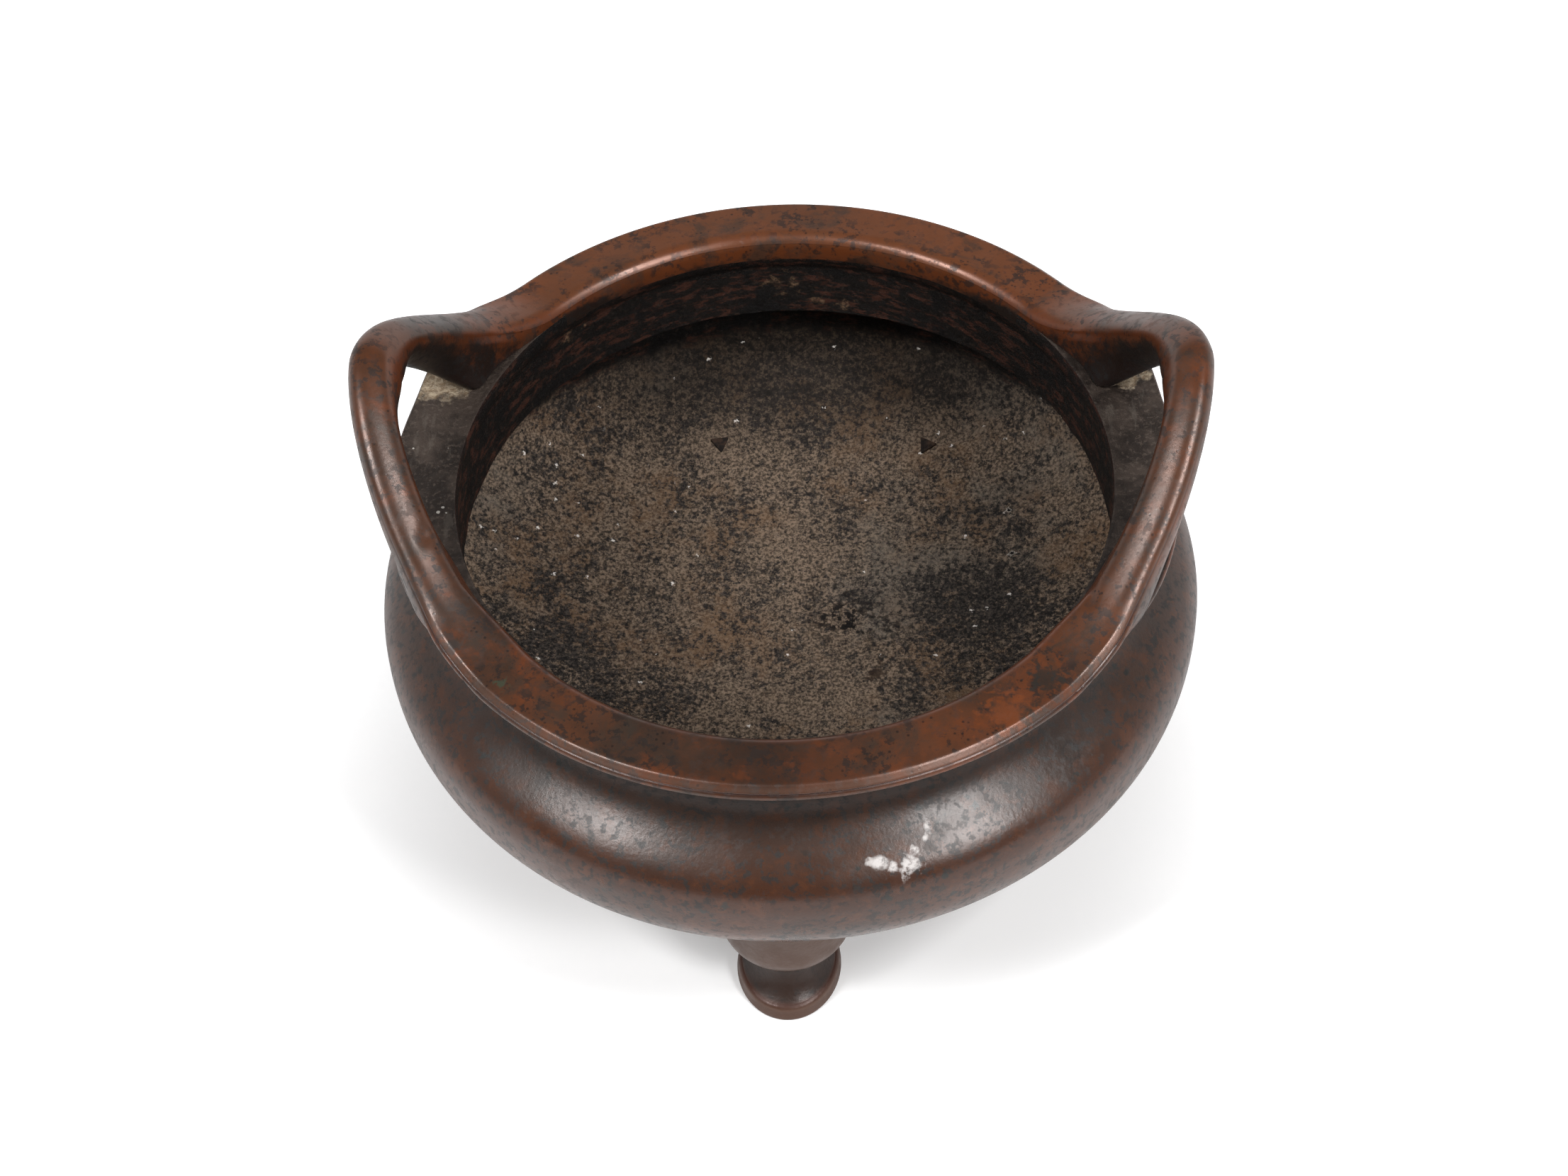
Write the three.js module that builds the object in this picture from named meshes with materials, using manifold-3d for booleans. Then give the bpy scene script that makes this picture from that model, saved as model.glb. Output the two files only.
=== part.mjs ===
// Tripod incense burner: a round-bellied bronze vessel on three hoof feet, with two loop
// handles that rise out of its broad mouth ring.
// Millimetres. +Z is up, the origin is on the standing surface under the vessel's centre,
// the handles are on +X and -X, and one foot points to the front, along -Y.
import * as THREE from 'three';
import { mergeVertices } from 'three/addons/utils/BufferGeometryUtils.js';
import Module from 'manifold-3d';

const wasm = await Module();
wasm.setup();

const DEGREE = Math.PI / 180;
const FULL_TURN = 2 * Math.PI;

// The clearance that every seat keeps, and the overrun that every cut shares.
const seatGap = 0.3;
const cutOverrun = 2;

// Vessel: a squat bowl with a drawn-in neck. Each height counts from the one before it.
const standHeight = 17.5;
const bowlDepth = 22.5;
const shoulderRise = 16.5;
const neckRise = 7.4;
const bellyRadius = 66;
const waistRadius = 55;
const bowlPower = 2.75;
const shoulderPull = 8.5;
const floorWall = 4.5;
const bellyWall = 4.5;
const neckWall = 3.1;
const throatDrop = 6.1;
const throatFlareOut = 2.1;
const throatFlareDown = 2.4;
const innerPull = 5.5;

// Mouth ring: the thick band that crowns the neck.
const lipOverhang = 7.1;
const lipThickness = 2.7;
const beadHeight = 1.4;
const lipBatter = 1.1;
const topFaceWidth = 8.2;
const topFaceRise = 0.8;
const ringDepth = 6.9;
const ringBulge = 1.1;
const ringFootInset = 0.5;

// Handles: a rounded bar that leaves the mouth ring, rises and leans out.
const handleSpan = 44.5 * DEGREE;
const handleHalfWidth = 29.6;
const handleRise = 24.3;
const handleLean = 6.25;
const leanPower = 1.2;
const handleSweep = 3.6 * DEGREE;
const archPower = 1.48;
const barWidth = 7.7;
const barTopWidth = 6.6;
const barCrown = 2.8;
const barKeel = 10;
const barTopKeel = 3.1;
const barTilt = 18.7 * DEGREE;
const tiltPower = 0.6;
const barMorphRise = 6;
const crownPower = 2.65;
const keelPower = 1.7;
const handleTenonCircle = 54.4;
const handleTenonAngle = 37 * DEGREE;
const handleTenonRadius = 1.3;
const handleTenonLength = 3.5;
const handleTenonRoot = 1.2;

// Feet: a full knee, a pinched ankle and a hoof that is longer than it is wide.
const footCount = 3;
const footCircleRadius = 47.2;
const hoofHalfWidth = 8.5;
const hoofHalfLength = 11;
const soleRound = 0.4;
const hoofBandHeight = 2.7;
const hoofBandBatter = 0.4;
const ankleHalfWidth = 5.6;
const ankleHeight = 7;
const ankleFlare = 1.2;
const kneeHalfWidth = 10.6;
const kneeHalfLength = 10.3;
const kneeHeight = 15;
const kneePull = 4;
const footTenonRadius = 4;
const footTenonRise = 2;

// Chaplets: triangular spacers that held the casting core, left in the bowl's rear wall.
const chapletRadius = 1.9;
const chapletSides = 3;
const chapletPlaces = {
  chaplet_left: { radius: 46.2, azimuth: 107.5 * DEGREE, turn: 180 * DEGREE },
  chaplet_right: { radius: 48.2, azimuth: 63 * DEGREE, turn: -63 * DEGREE },
};

// Facets.
const turnSteps = 72;
const curveSteps = 9;
const handleSteps = 44;
const footTurnSteps = 24;
const hoofSteps = 4;
const calfSteps = 6;
const handleTenonSides = 12;
const underRingSteps = 3;
const ringSideSteps = { under: 7, top: 4, inside: 5 };
const slopeStep = 0.01;

// Tones and roughness of the bronze.
const finishes = {
  vessel: [0x4a3a32, 0.42],
  handle: [0x6b4534, 0.4],
  foot: [0x43362f, 0.45],
  chaplet: [0x2a2622, 0.8],
};

// Heights and radii that follow from the sizes above.
const bellyHeight = standHeight + bowlDepth;
const waistHeight = bellyHeight + shoulderRise;
const lipUnderHeight = waistHeight + neckRise;
const lipTopHeight = lipUnderHeight + lipThickness;
const rimHeight = lipTopHeight + topFaceRise;
const sillHeight = lipUnderHeight + beadHeight;
const ringFootHeight = rimHeight - ringDepth;
const throatHeight = waistHeight - throatDrop;
const floorHeight = standHeight + floorWall;
const throatRadius = waistRadius - neckWall;
const lipRadius = waistRadius + lipOverhang;
const lipTopRadius = lipRadius - lipBatter;
const mouthRadius = lipTopRadius - topFaceWidth;
const ringFootRadius = throatRadius + ringFootInset;
const innerBellyRadius = bellyRadius - bellyWall;
const innerDepth = bellyHeight - floorHeight;
const ringCentreRadius = (throatRadius + lipRadius) / 2;
const ringCentreHeight = (ringFootHeight + rimHeight) / 2;

// The arch's foot runs out level just where the handle ends.
const archEndShare = (handleSpan * ringCentreRadius) / handleHalfWidth;
const archFootBlend = handleRise * (archEndShare ** archPower - 1);

const bronze = (color, roughness) =>
  new THREE.MeshStandardMaterial({ color, roughness, metalness: 0.85 });

const flat = (x, y) => new THREE.Vector2(x, y);

// Geometry into a closed solid: vertices merged by position, slivers on the axis dropped.
function toSolid(geometry) {
  const bare = geometry.clone();
  bare.deleteAttribute('normal');
  bare.deleteAttribute('uv');
  const merged = mergeVertices(bare);
  const corners = merged.getIndex().array;
  const kept = [];
  for (let i = 0; i < corners.length; i += 3) {
    const [a, b, c] = [corners[i], corners[i + 1], corners[i + 2]];
    if (a !== b && b !== c && c !== a) {
      kept.push(a, b, c);
    }
  }
  return new wasm.Manifold(new wasm.Mesh({
    numProp: 3,
    vertProperties: new Float32Array(merged.getAttribute('position').array),
    triVerts: new Uint32Array(kept),
  }));
}

function toGeometry(solid) {
  const mesh = solid.getMesh();
  const geometry = new THREE.BufferGeometry();
  geometry.setAttribute('position', new THREE.BufferAttribute(mesh.vertProperties, 3));
  geometry.setIndex(new THREE.BufferAttribute(mesh.triVerts, 1));
  geometry.computeVertexNormals();
  return geometry;
}

// A turned body about the Z axis.
function turned(profile, steps) {
  const geometry = new THREE.LatheGeometry(profile, steps);
  geometry.rotateX(Math.PI / 2);
  return geometry;
}

// A round or many-sided peg that stands on its base at a point and rises along an axis.
function peg(radius, length, base, axis, sides, turn = 0) {
  const geometry = new THREE.CylinderGeometry(radius, radius, length, sides);
  geometry.rotateX(Math.PI / 2);
  geometry.rotateZ(turn);
  geometry.translate(0, 0, length / 2);
  const up = new THREE.Vector3(0, 0, 1);
  const turnUp = new THREE.Quaternion().setFromUnitVectors(up, axis.clone().normalize());
  geometry.applyQuaternion(turnUp);
  geometry.translate(base.x, base.y, base.z);
  return toSolid(geometry);
}

// How far below its widest ring a bowl lies at a given radius.
function bowlDrop(radius, widest, depth) {
  return depth * (1 - (radius / widest) ** bowlPower) ** (1 / bowlPower);
}

// The bowl's half outline from the axis up to its widest ring, in equal steps of angle.
function bowlOutline(widest, depth) {
  const outline = [flat(0, bellyHeight - depth)];
  for (let i = 1; i < curveSteps; i++) {
    const angle = (i / curveSteps) * (Math.PI / 2);
    const across = widest * Math.sin(angle) ** (2 / bowlPower);
    outline.push(flat(across, bellyHeight - bowlDrop(across, widest, depth)));
  }
  outline.push(flat(widest, bellyHeight));
  return outline;
}

// The hollow curve under the lip, from the waist to the lip's lower edge.
const cavetto = new THREE.EllipseCurve(
  lipRadius, waistHeight, lipOverhang, neckRise, Math.PI, Math.PI / 2, true);
const ringFootShare = Math.asin((ringFootHeight - waistHeight) / neckRise) / (Math.PI / 2);

// The mouth ring's section: from its foot in the throat along the underside to the lip, up the
// bead on the lip's edge, over the top face and down the inside.
function ringSection() {
  const section = [flat(ringFootRadius, ringFootHeight)];
  for (let i = 0; i < ringSideSteps.under; i++) {
    const share = i / (ringSideSteps.under - 1);
    section.push(cavetto.getPoint(ringFootShare + (1 - ringFootShare) * share));
  }
  section.push(flat(lipRadius, sillHeight));
  for (let i = 0; i <= ringSideSteps.top; i++) {
    const share = i / ringSideSteps.top;
    section.push(flat(lipTopRadius - topFaceWidth * share, lipTopHeight + topFaceRise * share));
  }
  const inside = new THREE.QuadraticBezierCurve(
    flat(mouthRadius, rimHeight),
    flat(mouthRadius - 2 * ringBulge, ringCentreHeight),
    flat(ringFootRadius, ringFootHeight));
  for (let i = 1; i < ringSideSteps.inside; i++) {
    section.push(inside.getPoint(i / ringSideSteps.inside));
  }
  return section;
}

function vesselBlank() {
  const shoulder = new THREE.CubicBezierCurve(
    flat(bellyRadius, bellyHeight),
    flat(bellyRadius, bellyHeight + shoulderPull),
    flat(waistRadius, waistHeight - shoulderPull),
    flat(waistRadius, waistHeight));
  const underRing = [];
  for (let i = 1; i < underRingSteps; i++) {
    underRing.push(cavetto.getPoint((ringFootShare * i) / underRingSteps));
  }
  const innerShoulder = new THREE.CubicBezierCurve(
    flat(throatRadius, throatHeight),
    flat(throatRadius + throatFlareOut, throatHeight - throatFlareDown),
    flat(innerBellyRadius, bellyHeight + innerPull),
    flat(innerBellyRadius, bellyHeight));
  const [ringFoot, ...ring] = ringSection();
  return toSolid(turned([
    ...bowlOutline(bellyRadius, bowlDepth),
    ...shoulder.getPoints(curveSteps).slice(1),
    ...underRing,
    ...ring,
    ringFoot,
    ...innerShoulder.getPoints(curveSteps).slice(0, -1),
    ...bowlOutline(innerBellyRadius, innerDepth).reverse(),
  ], turnSteps));
}

// The sector of the mouth ring's upper layer that a handle takes the place of. The lower layer
// runs on under the handle as a level sill.
function handleNotch(middle) {
  const reach = lipRadius + cutOverrun;
  const first = middle - handleSpan;
  const sector = new THREE.Shape();
  sector.moveTo(0, 0);
  sector.lineTo(reach * Math.cos(first), reach * Math.sin(first));
  sector.absarc(0, 0, reach, first, middle + handleSpan);
  sector.closePath();
  const depth = rimHeight + cutOverrun - sillHeight;
  const geometry = new THREE.ExtrudeGeometry(sector, { depth, bevelEnabled: false });
  geometry.translate(0, 0, sillHeight);
  return toSolid(geometry);
}

// The larger of two heights, with a round blend where they are close.
function blendedMax(a, b, blend) {
  const near = Math.max(blend - Math.abs(a - b), 0) / blend;
  return Math.max(a, b) + (near * near * blend) / 4;
}

// The middle of the handle's bar at an angle from the handle's own axis.
function handleCentre(angle) {
  const along = Math.abs(angle) * ringCentreRadius;
  const arch = handleRise * (1 - (along / handleHalfWidth) ** archPower);
  const rise = blendedMax(0, arch, archFootBlend);
  const radius = ringCentreRadius + handleLean * (rise / handleRise) ** leanPower;
  return new THREE.Vector3(
    radius * Math.cos(angle), radius * Math.sin(angle), ringCentreHeight + rise);
}

// A point on the bar's own section: a low crown above, a deep keel below, and both grow
// smaller towards the top of the handle.
function barPoint(angle, topShare) {
  const halfWidth = THREE.MathUtils.lerp(barWidth, barTopWidth, topShare) / 2;
  const inCrown = Math.sin(angle) >= 0;
  const depth = inCrown ? barCrown : THREE.MathUtils.lerp(barKeel, barTopKeel, topShare);
  const power = 2 / (inCrown ? crownPower : keelPower);
  const rounded = (value) => Math.sign(value) * Math.abs(value) ** power;
  return flat(halfWidth * rounded(Math.cos(angle)), depth * rounded(Math.sin(angle)));
}

// The handle's bar: the mouth ring's section at both ends turns into the bar's section as it
// rises. Each section stands square to the bar's middle line, tilts to face inwards and is
// swept a little along the rim, the more the higher it stands. All is cut level over the sill.
function handleBar(sweep) {
  const centre = flat(ringCentreRadius, ringCentreHeight);
  const root = ringSection().map((p) => p.sub(centre));
  const count = root.length;
  const end = handleSpan - seatGap / ringCentreRadius;
  const nudge = slopeStep / ringCentreRadius;
  const vertical = new THREE.Vector3(0, 0, 1);
  const positions = [];
  for (let j = 0; j <= handleSteps; j++) {
    const angle = end * ((2 * j) / handleSteps - 1);
    const middle = handleCentre(angle);
    const along = handleCentre(angle + nudge).sub(handleCentre(angle - nudge)).normalize();
    const out = new THREE.Vector3(Math.cos(angle), Math.sin(angle), 0);
    out.addScaledVector(along, -out.dot(along)).normalize();
    const up = new THREE.Vector3().crossVectors(out, along);
    const rise = middle.z - ringCentreHeight;
    const barShare = THREE.MathUtils.smoothstep(rise, 0, barMorphRise);
    const topShare = rise / handleRise;
    for (const corner of root) {
      const p = corner.clone().lerp(barPoint(corner.angle(), topShare), barShare);
      p.rotateAround(flat(0, 0), barTilt * topShare ** tiltPower);
      const q = middle.clone().addScaledVector(out, p.x).addScaledVector(up, p.y);
      q.applyAxisAngle(vertical, sweep * topShare);
      positions.push(q.x, q.y, q.z);
    }
  }
  const corners = [];
  for (let j = 0; j < handleSteps; j++) {
    for (let i = 0; i < count; i++) {
      const next = (i + 1) % count;
      const [a, b] = [j * count + i, j * count + next];
      const [c, d] = [b + count, a + count];
      corners.push(a, c, b, a, d, c);
    }
  }
  const lastRing = handleSteps * count;
  for (const [a, b, c] of THREE.ShapeUtils.triangulateShape(root, [])) {
    corners.push(a, b, c, lastRing + a, lastRing + c, lastRing + b);
  }
  const geometry = new THREE.BufferGeometry();
  geometry.setAttribute('position', new THREE.Float32BufferAttribute(positions, 3));
  geometry.setIndex(corners);
  return toSolid(geometry).trimByPlane([0, 0, 1], sillHeight + seatGap);
}

// The tenons under a handle's two feet, or with a clearance the mortises that take them.
function handleTenons(middle, clearance) {
  const length = handleTenonRoot + handleTenonLength + clearance;
  const down = new THREE.Vector3(0, 0, -1);
  return [-1, 1].map((side) => {
    const angle = middle + side * handleTenonAngle;
    const base = new THREE.Vector3(
      handleTenonCircle * Math.cos(angle), handleTenonCircle * Math.sin(angle),
      sillHeight + handleTenonRoot);
    return peg(handleTenonRadius + clearance, length, base, down, handleTenonSides);
  });
}

function handleSolid(sweep) {
  return handleTenons(0, 0).reduce((solid, tenon) => solid.add(tenon), handleBar(sweep));
}

// The half outline of a foot, from the sole up into the bowl, by half width and height.
function footOutline(topHeight) {
  const bandTop = flat(hoofHalfWidth - hoofBandBatter, hoofBandHeight);
  const ankle = flat(ankleHalfWidth, ankleHeight);
  const knee = flat(kneeHalfWidth, kneeHeight);
  const hoofTop = new THREE.QuadraticBezierCurve(
    bandTop, flat(ankleHalfWidth, hoofBandHeight + ankleFlare), ankle);
  const calf = new THREE.CubicBezierCurve(
    ankle, flat(ankleHalfWidth, ankleHeight + kneePull),
    flat(kneeHalfWidth, kneeHeight - kneePull), knee);
  return [
    flat(0, 0),
    flat(hoofHalfWidth - soleRound, 0),
    flat(hoofHalfWidth, soleRound),
    bandTop,
    ...hoofTop.getPoints(hoofSteps).slice(1),
    ...calf.getPoints(calfSteps).slice(1),
    flat(kneeHalfWidth, topHeight),
    flat(0, topHeight),
  ];
}

const footTenonTop = bellyHeight - bowlDrop(footCircleRadius, bellyRadius, bowlDepth) + footTenonRise;

// The foot's tenon, or with a clearance the mortise that takes it.
function footTenon(place, clearance) {
  const base = place.clone().setZ(kneeHeight);
  const length = footTenonTop + clearance - kneeHeight;
  return peg(footTenonRadius + clearance, length, base, new THREE.Vector3(0, 0, 1), footTurnSteps);
}

// A foot that points along +X: turned, drawn longer at the hoof, cut to the bowl's underside.
function footSolid() {
  const geometry = turned(footOutline(bellyHeight), footTurnSteps);
  const position = geometry.getAttribute('position');
  for (let i = 0; i < position.count; i++) {
    const share = THREE.MathUtils.smoothstep(position.getZ(i), hoofBandHeight, kneeHeight);
    const stretch = THREE.MathUtils.lerp(
      hoofHalfLength / hoofHalfWidth, kneeHalfLength / kneeHalfWidth, share);
    position.setX(i, position.getX(i) * stretch);
  }
  geometry.translate(footCircleRadius, 0, 0);
  const bowl = toSolid(turned([
    ...bowlOutline(bellyRadius + seatGap, bowlDepth + seatGap),
    flat(bellyRadius + seatGap, bellyHeight + cutOverrun),
    flat(0, bellyHeight + cutOverrun),
  ], turnSteps));
  const place = new THREE.Vector3(footCircleRadius, 0, 0);
  return toSolid(geometry).subtract(bowl).add(footTenon(place, 0));
}

// A triangular peg through the bowl's wall, square to the inner face.
function chapletPeg({ radius, azimuth, turn }, clearance) {
  const drop = bowlDrop(radius, innerBellyRadius, innerDepth);
  const outerDrop = bowlDrop(radius + slopeStep, innerBellyRadius, innerDepth);
  const slope = (drop - outerDrop) / slopeStep;
  const axis = new THREE.Vector3(-slope * Math.cos(azimuth), -slope * Math.sin(azimuth), 1);
  axis.normalize();
  const face = new THREE.Vector3(
    radius * Math.cos(azimuth), radius * Math.sin(azimuth), bellyHeight - drop);
  const reach = floorWall + cutOverrun;
  const base = face.addScaledVector(axis, -reach);
  // A triangle's corners stand twice as far out as its sides.
  const cornerRadius = chapletRadius + 2 * clearance;
  return peg(cornerRadius, 2 * reach, base, axis, chapletSides, azimuth + turn);
}

function named(name, geometry, finish) {
  const mesh = new THREE.Mesh(geometry, bronze(...finish));
  mesh.name = name;
  return mesh;
}

const burner = new THREE.Group();
const blank = vesselBlank();

// The vessel, with a notch and two mortises for each handle, a mortise for each foot and a
// hole for each chaplet.
let vessel = blank;
for (const middle of [0, Math.PI]) {
  vessel = vessel.subtract(handleNotch(middle));
  for (const mortise of handleTenons(middle, seatGap)) {
    vessel = vessel.subtract(mortise);
  }
}

const footNames = ['foot_front', 'foot_rear_right', 'foot_rear_left'];
const footGeometry = toGeometry(footSolid());
for (let i = 0; i < footCount; i++) {
  const azimuth = -Math.PI / 2 + (i * FULL_TURN) / footCount;
  const place = new THREE.Vector3(
    footCircleRadius * Math.cos(azimuth), footCircleRadius * Math.sin(azimuth), 0);
  vessel = vessel.subtract(footTenon(place, seatGap));
  const foot = named(footNames[i], footGeometry, finishes.foot);
  foot.rotation.z = azimuth;
  burner.add(foot);
}

for (const [name, place] of Object.entries(chapletPlaces)) {
  vessel = vessel.subtract(chapletPeg(place, seatGap));
  const chaplet = blank.intersect(chapletPeg(place, 0));
  burner.add(named(name, toGeometry(chaplet), finishes.chaplet));
}

burner.add(named('vessel', toGeometry(vessel), finishes.vessel));

// The left handle's sweep is the other way round, so that both lean to the rear.
const handleRight = named('handle_right', toGeometry(handleSolid(handleSweep)), finishes.handle);
const handleLeft = named('handle_left', toGeometry(handleSolid(-handleSweep)), finishes.handle);
handleLeft.rotation.z = Math.PI;
burner.add(handleRight, handleLeft);

export default burner;
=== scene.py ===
import math

import bpy
import numpy as np
from mathutils import Euler, Matrix, Vector


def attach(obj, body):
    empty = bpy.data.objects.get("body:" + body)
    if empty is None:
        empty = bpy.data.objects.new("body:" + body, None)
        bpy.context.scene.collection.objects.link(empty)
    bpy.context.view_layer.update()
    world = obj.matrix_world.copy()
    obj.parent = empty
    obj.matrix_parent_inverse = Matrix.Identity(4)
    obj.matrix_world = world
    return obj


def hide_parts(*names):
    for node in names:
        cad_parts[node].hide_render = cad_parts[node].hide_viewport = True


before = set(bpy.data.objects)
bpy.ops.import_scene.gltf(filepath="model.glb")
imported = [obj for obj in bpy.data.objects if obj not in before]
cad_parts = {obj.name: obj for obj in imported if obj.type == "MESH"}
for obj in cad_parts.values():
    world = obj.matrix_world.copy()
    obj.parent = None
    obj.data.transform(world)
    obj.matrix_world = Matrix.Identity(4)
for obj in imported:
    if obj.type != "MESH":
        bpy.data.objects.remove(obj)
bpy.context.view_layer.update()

MM = 0.001
TURN = 2 * math.pi
DEGREE = math.pi / 180

# Vessel, in millimetres, as in the solids.
stand_height = 17.5
bowl_depth = 22.5
belly_radius = 66.0
waist_radius = 55.0
belly_height = stand_height + bowl_depth
waist_height = belly_height + 16.5
shoulder_pull = 8.5
bowl_power = 2.75
neck_rise = 7.4
lip_radius = 62.1
lip_under_height = waist_height + neck_rise
bead_height = 1.4
lip_top_height = lip_under_height + 2.7
rim_height = lip_top_height + 0.8
lip_top_radius = 61.0
mouth_radius = 52.8
sill_height = lip_under_height + bead_height
ring_depth = 6.9
ring_bulge = 1.1
ring_foot_height = rim_height - ring_depth
throat_radius = 51.9
ring_foot_radius = throat_radius + 0.5
throat_height = waist_height - 6.1
throat_flare_out = 2.1
throat_flare_down = 2.4
inner_pull = 5.5
inner_belly_radius = belly_radius - 4.5
floor_height = stand_height + 4.5
inner_depth = belly_height - floor_height
ring_centre_radius = (throat_radius + lip_radius) / 2
ring_centre_height = (ring_foot_height + rim_height) / 2

# Relief of the lip: a round bead, a fine groove over it and a small chamfer.
cavetto_end_share = 0.93
bead_radius = 0.72
bead_proud = 0.04
bead_turns = (-80, 62)
groove_depth = 0.34
groove_half_width = 0.16
groove_shoulder = 0.1
groove_round = 0.14
edge_round = 0.28
mouth_round = 1.5
row_gap = 0.05

# Handles.
handle_span = 44.5 * DEGREE
handle_half_width = 29.6
handle_rise = 24.3
handle_lean = 6.25
lean_power = 1.2
handle_sweep = 3.6 * DEGREE
arch_power = 1.48
bar_width = 7.7
bar_top_width = 6.6
bar_crown = 2.8
bar_keel = 10.0
bar_top_keel = 3.1
bar_tilt = 18.7 * DEGREE
tilt_power = 0.6
bar_morph_rise = 6.0
crown_power = 2.65
keel_power = 1.7
arch_end_share = handle_span * ring_centre_radius / handle_half_width
arch_foot_blend = handle_rise * (arch_end_share**arch_power - 1)
bar_groove_angle = 14 * DEGREE
bar_groove_half_angle = 4 * DEGREE
bar_groove_depth = 0.07
rim_turn = math.atan2(rim_height - ring_centre_height, mouth_radius - ring_centre_radius)
ring_foot_turn = TURN + math.atan2(
    ring_foot_height - ring_centre_height, ring_foot_radius - ring_centre_radius
)

# Forms that only the look has. The sill dips, has a low ridge inside, and is broader near the
# rear feet of the handles and narrower near the front ones.
sill_dip = 0.12
sill_ridge = 0.03
sill_ridge_share = 0.985
sill_ridge_width_share = 0.02
sill_start = 0.02
sill_drop = 0.05
spread_most = 1.5
spread_everywhere = 0.4
spread_angle = 26 * DEGREE
spread_half_angle = 7 * DEGREE
spread_ring_share = 0.7
pull_most = 0.9
pull_angle = 32 * DEGREE
pull_half_angle = 9 * DEGREE
pull_fade_angle = 6 * DEGREE
rear_from_sine = -0.1
rear_full_sine = 0.15

# A fuller arch inside the loop, a boxier keel, a buttress and a flank at the handles' roots,
# and a dent in each handle.
web_push = 3.0
web_share = 0.11
web_angle = 213 * DEGREE
root_keel_power = 4.0
root_keel_shares = (0.28, 0.6)
buttress_rises = (0.5, 6.5, 12.5)
buttress_push = 3.5
buttress_start_angles = (155 * DEGREE, 238 * DEGREE)
buttress_end_angles = (245 * DEGREE, 300 * DEGREE)
flank_rises = (0.2, 3.5, 10.0)
flank_push = 0.8
flank_angle = -20 * DEGREE
handle_dents = {"handle_left": (-53.6, -20.7, 76.6), "handle_right": (47.5, -27.8, 70.6)}
dent_depth = 0.5
dent_width = 1.1
dent_stretch = (1.0, 0.6, 1.0)

# Feet.
foot_circle_radius = 47.2
hoof_half_width = 8.5
hoof_half_length = 11.0
sole_half_width = hoof_half_width + 0.02
sole_round = 0.5
band_height = 2.7
band_batter = 0.4
band_crease = 0.54
crease_rise = 0.22
band_round = 0.6
ankle_half_width = 5.6
ankle_ease = 0.35
ankle_height = 7.0
ankle_flare = 1.7
knee_half_width = 10.6
knee_half_length = 10.3
knee_height = 15.0
knee_pull = 4.0
knee_flare_share = 0.035
knee_flare_power = 4
foot_bury = 0.15
bowl_edge_gap = 0.6

# Chaplets: distance from the axis, azimuth and own turn. The levels are a height and a share of
# the width.
chaplet_radius = 1.9
chaplet_round = 0.35
chaplet_rise = 0.32
chaplet_places = {
    "chaplet_left": (46.2, 107.5 * DEGREE, 22.5 * DEGREE),
    "chaplet_right": (48.2, 63 * DEGREE, 27 * DEGREE),
}
chaplet_level_shares = (
    (-5.0, 1.0),
    (-0.3, 1.0),
    (chaplet_rise - 0.12, 1.0),
    (chaplet_rise - 0.03, 0.96),
    (chaplet_rise, 0.86),
    (chaplet_rise - 0.1, 0.6),
    (chaplet_rise - 0.16, 0.3),
)

# Unevenness: the wavelength and height of the casting's waves and of the crust's three waves,
# and the smooth hollow round a chaplet.
cast_wave = 36.0
cast_height = 0.1
crust_waves = ((3.2, 0.1), (1.5, 0.06), (14.0, 0.16))
crust_seed = 11
crust_fade_rows = 6
chaplet_clear = 2.6
chaplet_dip = 0.12

# Marks that the materials read, with their reach in millimetres or as an angle.
groove_mark = 0.22
# The edge weights carry a lighter line, partly wear and partly a painted highlight.
edge_mark = 0.5
lip_mark_depth = 0.4
root_mark_angle = 9 * DEGREE
root_mark_share = 0.7
root_mark_drop = 2.0
throat_margin = 0.8
rim_mark = 0.8
rim_mark_inset = 0.1
rim_mark_end = 2
sill_rim_angle = 38 * DEGREE
sill_rim_fade_angle = 10 * DEGREE
# Reach of the painted shade under the lip, and the gap below the lip where it starts.
neck_mark = 11
neck_mark_gap = 2.5
bar_groove_mark = 3.2 * DEGREE
bar_groove_shift = 1 * DEGREE
bar_edge_mark = 7 * DEGREE
bar_edge_shift = 10 * DEGREE
bar_rim_shift = 4 * DEGREE
bar_mark_end_share = 1.15
bar_rim_fade_share = 0.5
bar_deep_share = 1.7
bar_deep_end = 330 * DEGREE
hoof_groove_mark = 0.25
hoof_groove_rise = 0.1
# Reach and place of the light line on the hoof band's edge, partly a painted highlight.
hoof_edge_mark = 0.35
hoof_edge_drop = 0.45

# How finely the visible shapes are divided.
span_columns = 108
wall_columns = 110
bowl_rows = 72
shoulder_rows = 48
cavetto_rows = 26
bead_rows = 12
top_rows = 26
chamfer_rows = 6
inner_roll_rows = 26
throat_rows = 20
inner_shoulder_rows = 30
inner_bowl_rows = 96
roll_crown_rows = 9
first_throat_row = 10
root_under_rows = 30
root_base_rows = 10
root_start_share = 0.36
handle_sections = 200
section_nudge = 0.01
foot_columns = 96
hoof_rows = 18
calf_rows = 26
rise_rows = 14
cap_rows = 7
weld_gap = 1e-3

# The vessel's materials, in the order of its slots.
body_zone, crown_zone, hollow_zone, sill_zone = range(4)


def spaced(count):
    return np.linspace(0, 1, count)


def bell(distance, width):
    """1 at no distance, and nearly 0 from twice the width on."""
    return np.exp(-((distance / width) ** 2))


def smooth_step(value, low, high):
    share = np.clip((value - low) / (high - low), 0, 1)
    return share * share * (3 - 2 * share)


def smooth_hill(value, low, full, high):
    return smooth_step(value, low, full) * (1 - smooth_step(value, full, high))


def wrapped(angle):
    """The same angle, between minus and plus half a turn."""
    return np.angle(np.exp(1j * angle))


def off_axis(angle):
    """How far an azimuth lies from the line through both handles."""
    return np.abs(np.mod(angle + math.pi / 2, math.pi) - math.pi / 2)


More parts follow.
